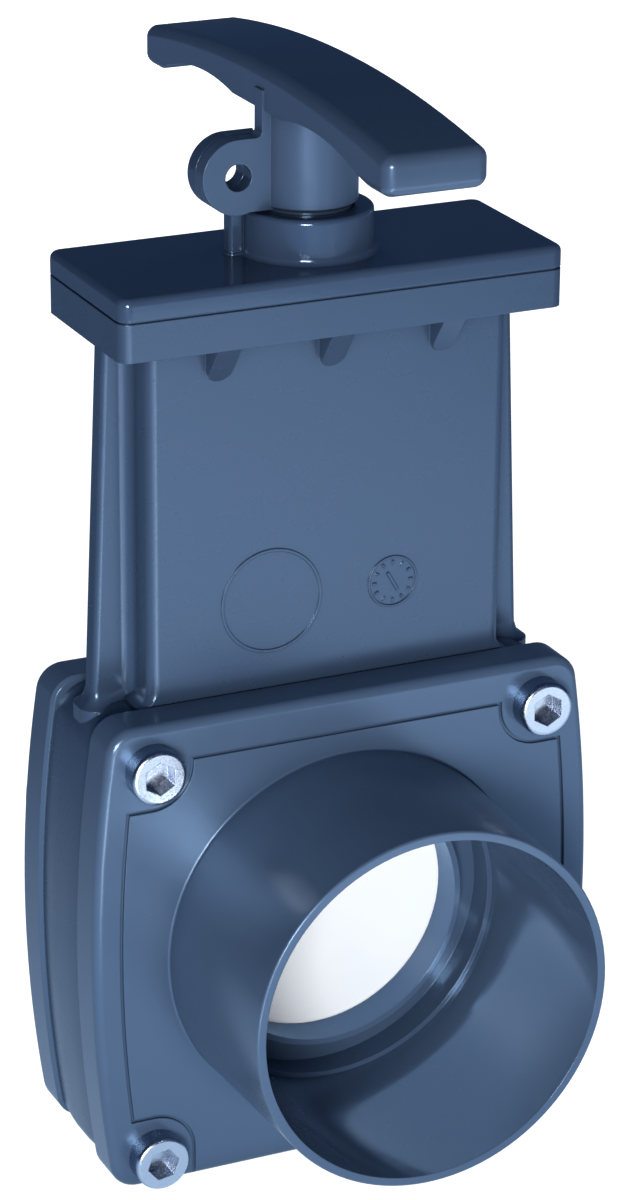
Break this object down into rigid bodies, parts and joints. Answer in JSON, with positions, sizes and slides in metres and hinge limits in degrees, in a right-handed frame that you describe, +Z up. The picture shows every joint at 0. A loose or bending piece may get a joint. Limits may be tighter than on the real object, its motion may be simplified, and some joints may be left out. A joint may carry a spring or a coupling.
{
  "type": "pond slide valve",
  "caption": "Plastic slide valve with glue sockets on both sides, a tall neck that houses the blade, and a lifting T-handle that can be padlocked shut.",
  "frame": {"origin": "on the floor under the middle of the valve, midway between the two socket mouths", "axes": "+X across the flanges, +Y along the pipe from the screw-head side to the nut side, +Z up the neck"},
  "size_m": [0.0768, 0.086, 0.1565],
  "materials": {
    "body_plastic": "moulded, satin gloss, dark blue-grey",
    "lid_plastic": "moulded, glossy, dark blue-grey",
    "handle_plastic": "moulded, satin gloss, dark blue-grey",
    "seal_rubber": "black rubber",
    "blade_plastic": "plain white, smooth",
    "screw_steel": "bright stainless steel"
  },
  "bodies": {
    "body": {"front_flange": "body_plastic", "rear_flange": "body_plastic", "bonnet": "body_plastic", "lid": "lid_plastic", "front_seal": "seal_rubber", "rear_seal": "seal_rubber", "lower_stem_seal": "seal_rubber", "upper_stem_seal": "seal_rubber", "screw_upper_left": "screw_steel", "screw_upper_right": "screw_steel", "screw_lower_left": "screw_steel", "screw_lower_right": "screw_steel", "nut_upper_left": "screw_steel", "nut_upper_right": "screw_steel", "nut_lower_left": "screw_steel", "nut_lower_right": "screw_steel"},
    "gate": {"blade": "blade_plastic", "blade_pin": "screw_steel", "stem": "screw_steel", "handle": "handle_plastic"}
  },
  "joints": [
    {"name": "blade_slide", "type": "slide", "parent": "body", "child": "gate", "axis": [0, 0, 1], "range_m": [0, 0.043]}
  ]
}
